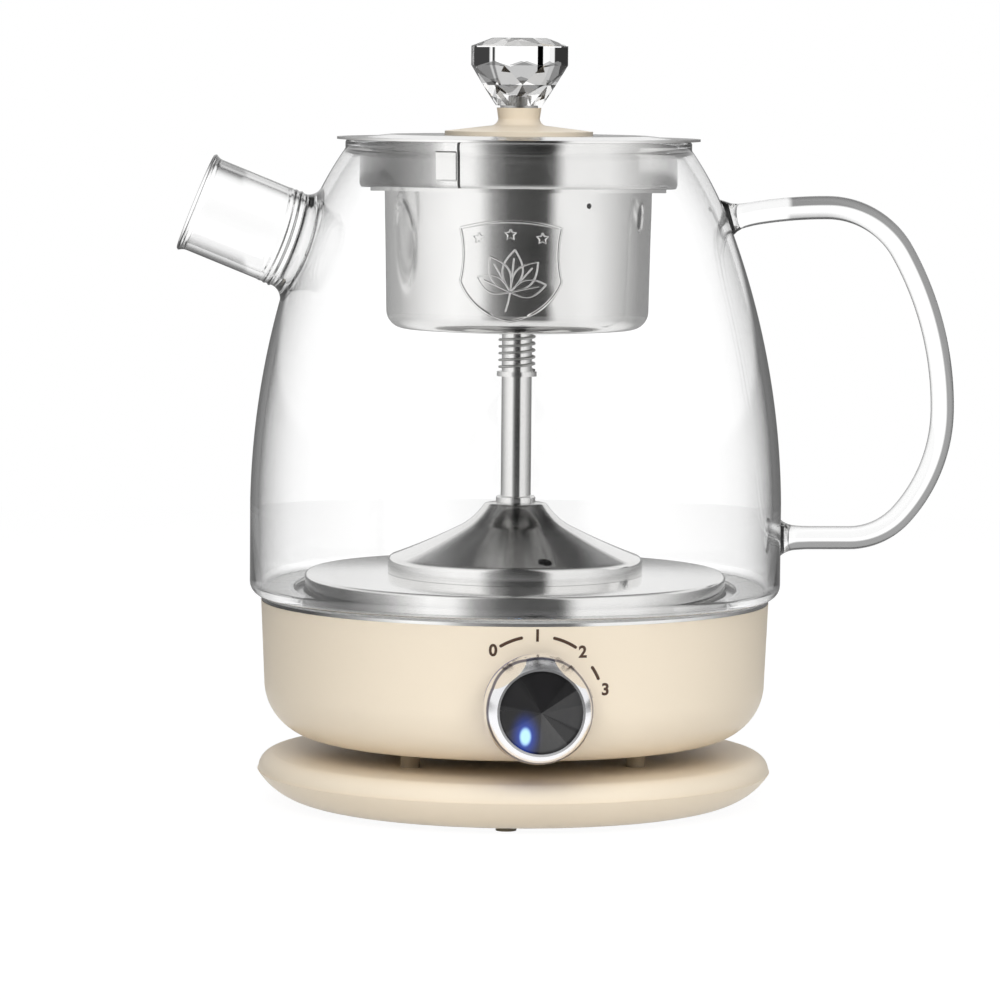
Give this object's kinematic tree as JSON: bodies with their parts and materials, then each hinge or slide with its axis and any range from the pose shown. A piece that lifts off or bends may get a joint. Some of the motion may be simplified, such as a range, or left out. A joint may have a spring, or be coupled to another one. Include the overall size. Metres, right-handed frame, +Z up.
{
  "type": "automatic tea maker",
  "caption": "Glass jug on a round power base, with a sprung steam riser and tea basket under its lid, a crystal lid knob and a rotary switch.",
  "frame": {"origin": "where the jug's axis meets the table it stands on", "axes": "+Z up, -X towards the spout, +X towards the handle, -Y towards the knob"},
  "size_m": [0.2045, 0.1487, 0.2005],
  "materials": {
    "cream_plastic": "satin",
    "dark_plastic": "matte",
    "grey_plastic": "matte",
    "rubber": "matte",
    "steel": "satin",
    "chrome": "polished",
    "brass": "satin",
    "aluminium": "satin",
    "glass": "clear",
    "crystal": "clear, cut",
    "gem": "gloss",
    "light": "translucent",
    "board": "matte"
  },
  "bodies": {
    "power_base": {"base_lower_shell": "cream_plastic", "base_upper_shell": "cream_plastic", "base_feet": "rubber", "base_screws": "steel", "connector_housing": "dark_plastic", "cord_bush": "dark_plastic"},
    "connector": {"connector_post": "dark_plastic", "connector_contacts": "brass"},
    "jug": {"jug_housing": "cream_plastic", "bottom_cover": "cream_plastic", "cover_screws": "steel", "jug_feet": "rubber", "coupler_socket": "dark_plastic", "coupler_pin": "brass", "heating_plate": "steel", "heat_spreader": "aluminium", "heating_element": "aluminium", "thermostats": "grey_plastic", "control_board": "board", "board_posts": "cream_plastic", "glass_body": "glass", "glass_shoulder": "glass", "glass_spout": "glass", "glass_handle": "glass", "jug_seal": "rubber", "light_ring": "light", "rotary_switch": "grey_plastic", "led": "light"},
    "knob": {"knob_shell": "chrome", "knob_shaft": "steel", "knob_gem": "gem"},
    "lid": {"lid_plate": "steel", "lid_skirt": "steel", "spring_band": "steel", "lid_disc": "cream_plastic", "crystal_seat": "steel", "crystal_knob": "crystal", "knob_stud": "steel", "lid_nut": "steel"},
    "basket": {"basket_cup": "steel", "basket_strainer": "steel", "guide_sleeve": "steel"},
    "riser": {"riser_tube": "steel", "spray_cap": "steel", "steam_bell": "steel", "bell_ferrule": "steel", "spring_washer": "steel", "riser_spring": "steel"}
  },
  "joints": [
    {"name": "jug_swivel", "type": "hinge", "parent": "power_base", "child": "connector", "pos_m": [0, 0, 0.0136], "axis": [0, 0, 1], "continuous": true},
    {"name": "jug_lift", "type": "slide", "parent": "connector", "child": "jug", "axis": [0, 0, 1], "range_m": [0, 0.08]},
    {"name": "knob_turn", "type": "hinge", "parent": "jug", "child": "knob", "pos_m": [0, -0.0655, 0.0338], "axis": [0, 1, 0], "range_deg": [-40, 80]},
    {"name": "lid_lift", "type": "slide", "parent": "jug", "child": "lid", "axis": [0, 0, 1], "range_m": [0, 0.125]},
    {"name": "basket_twist", "type": "hinge", "parent": "lid", "child": "basket", "pos_m": [0, 0, 0.165], "axis": [0, 0, 1], "range_deg": [0, 30]},
    {"name": "riser_slide", "type": "slide", "parent": "basket", "child": "riser", "axis": [0, 0, 1], "range_m": [0, 0.004], "stiffness_N_per_m": 400, "springref_m": -0.004, "deforming": ["riser_spring"]}
  ]
}
